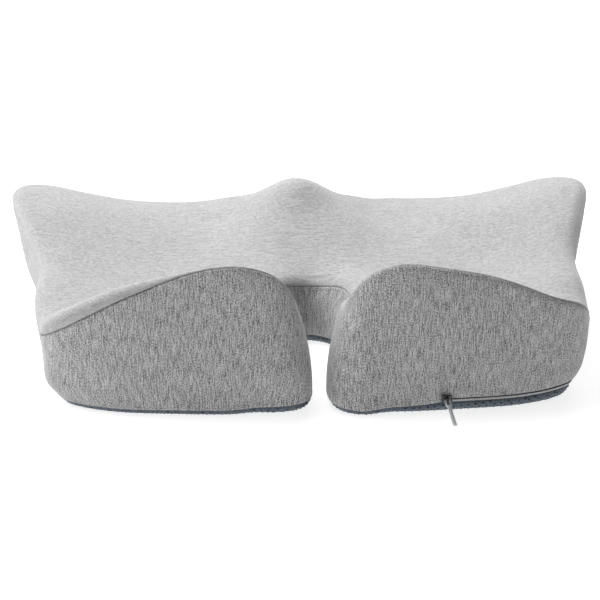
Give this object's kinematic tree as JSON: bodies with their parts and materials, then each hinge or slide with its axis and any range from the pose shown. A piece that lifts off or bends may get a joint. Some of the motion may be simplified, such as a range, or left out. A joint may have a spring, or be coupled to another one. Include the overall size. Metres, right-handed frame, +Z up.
{
  "type": "seat cushion",
  "caption": "Contoured foam seat cushion with a tailbone cut-out, raised rear lobes and thigh hollows, in a zipped two-tone knit cover with a non-slip base.",
  "frame": {"origin": "on the underside of the base panel, midway across and midway along the cushion without its pull tab, ahead of the cut-out", "axes": "+Z up out of the seat, +Y the way the sitter faces, so the cut-out opens towards -Y, +X to the sitter's right"},
  "size_m": [0.454, 0.3759, 0.1169],
  "materials": {
    "foam": "matte",
    "top_knit": "matte",
    "boxing_knit": "matte",
    "base_cloth": "matte",
    "thread": "matte",
    "zip_tape": "matte",
    "zip_coil": "satin",
    "dark_metal": "satin",
    "bright_metal": "polished"
  },
  "bodies": {
    "cushion": {"foam_core": "foam", "top_panel": "top_knit", "boxing_right": "boxing_knit", "boxing_left": "boxing_knit", "base_panel": "base_cloth", "top_seam_thread": "thread", "base_seam_thread": "thread", "zip_tape_lower": "zip_tape", "zip_tape_upper": "zip_tape", "zip_coil_lower": "zip_coil", "zip_coil_upper": "zip_coil", "zip_stop_lower": "dark_metal", "zip_stop_upper": "dark_metal", "zip_retainer": "dark_metal"},
    "zip_slider": {"slider_body": "dark_metal"},
    "zip_pull": {"pull_tab": "bright_metal"}
  },
  "joints": [
    {"name": "zip_travel", "type": "slide", "parent": "cushion", "child": "zip_slider", "axis": [0.9932, 0.1167, 0], "range_m": [0, 0.042]},
    {"name": "tab_swing", "type": "hinge", "parent": "zip_slider", "child": "zip_pull", "pos_m": [0.08883, -0.16972, 0.01107], "axis": [-0.9932, -0.1167, 0], "range_deg": [-70, 95]}
  ]
}
